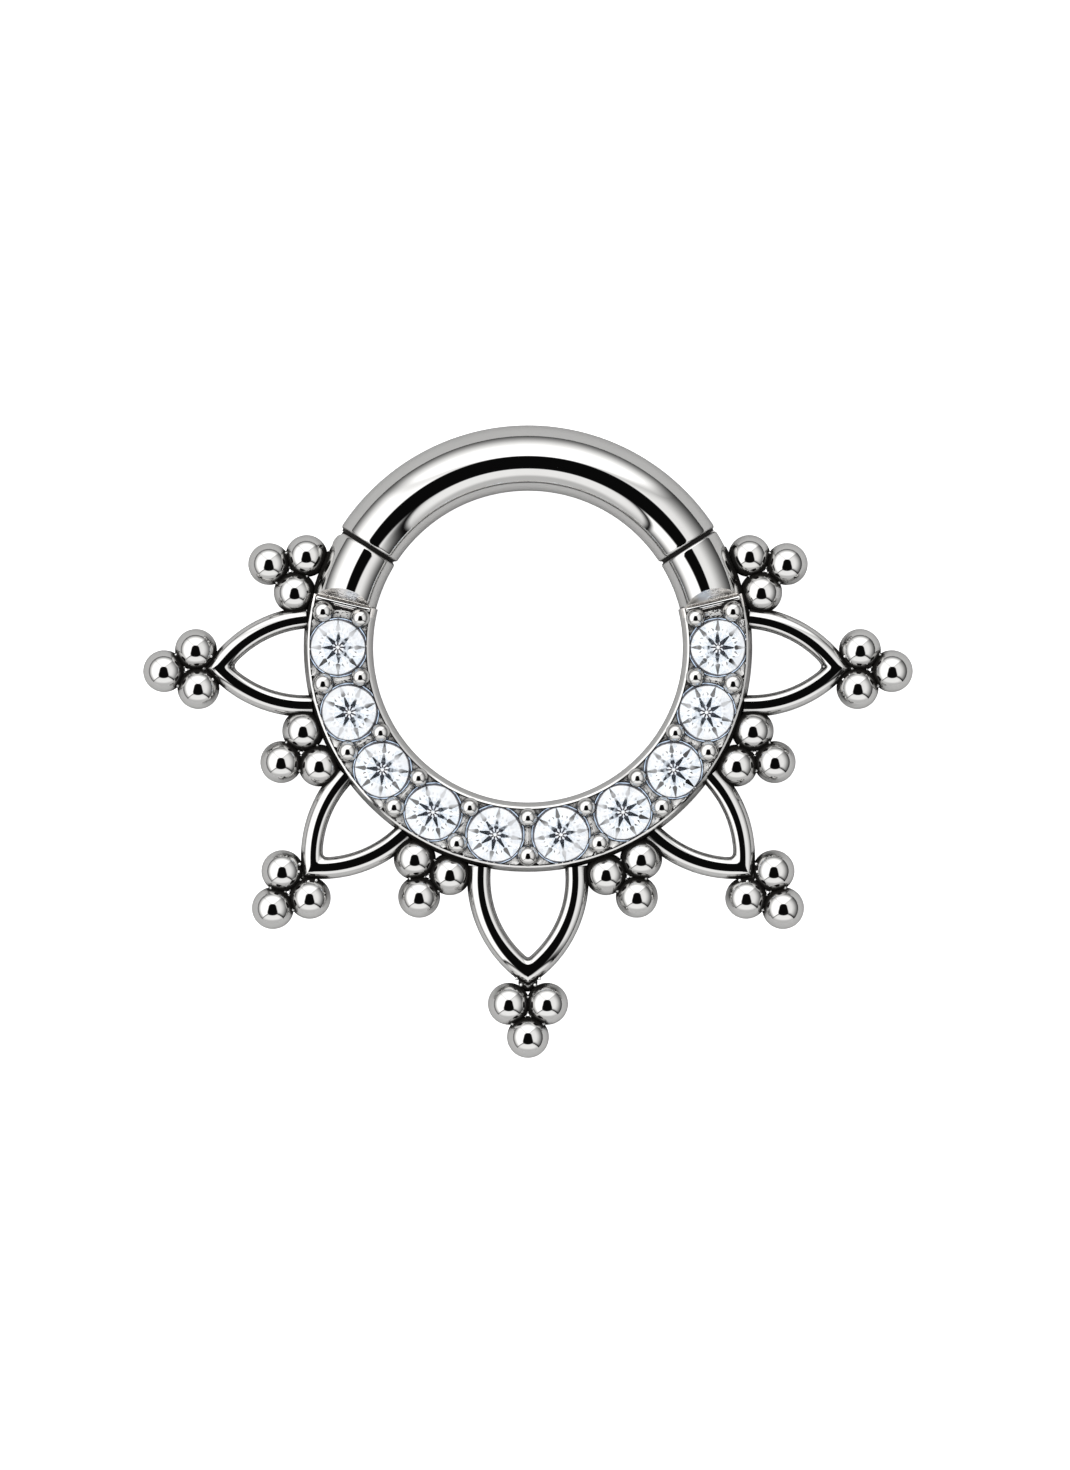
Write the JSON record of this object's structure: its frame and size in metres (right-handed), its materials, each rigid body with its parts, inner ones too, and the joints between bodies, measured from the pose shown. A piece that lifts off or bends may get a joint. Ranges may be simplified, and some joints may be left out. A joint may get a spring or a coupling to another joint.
{
  "type": "hinged clicker hoop for a piercing",
  "caption": "Hinged steel hoop for a piercing: plain round bar at the top, stone-set band below, edged with pointed wire petals and trios of soldered beads.",
  "frame": {"origin": "the middle of the hoop, in the plane that its back rests on", "axes": "+Z along the hoop's axis, from the plain back to the stones; +Y towards the bar that opens; +X to the right of a viewer who faces the stones"},
  "size_m": [0.02, 0.0164, 0.0017],
  "materials": {
    "polished_steel": "mirror polished surgical steel",
    "pin_steel": "polished flush with the sleeve",
    "clear_stone": "brilliant cut, clear white"
  },
  "bodies": {
    "hoop": {"hoop_body": "polished_steel", "hinge_pin": "pin_steel", "stone_01": "clear_stone", "stone_02": "clear_stone", "stone_03": "clear_stone", "stone_04": "clear_stone", "stone_05": "clear_stone", "stone_06": "clear_stone", "stone_07": "clear_stone", "stone_08": "clear_stone", "stone_09": "clear_stone", "stone_10": "clear_stone"},
    "bar": {"clicker_bar": "polished_steel"}
  },
  "joints": [
    {"name": "bar_hinge", "type": "hinge", "parent": "hoop", "child": "bar", "pos_m": [-0.00475, 0.00263, 0.0009], "axis": [0, 0, 1], "range_deg": [0, 70]}
  ]
}
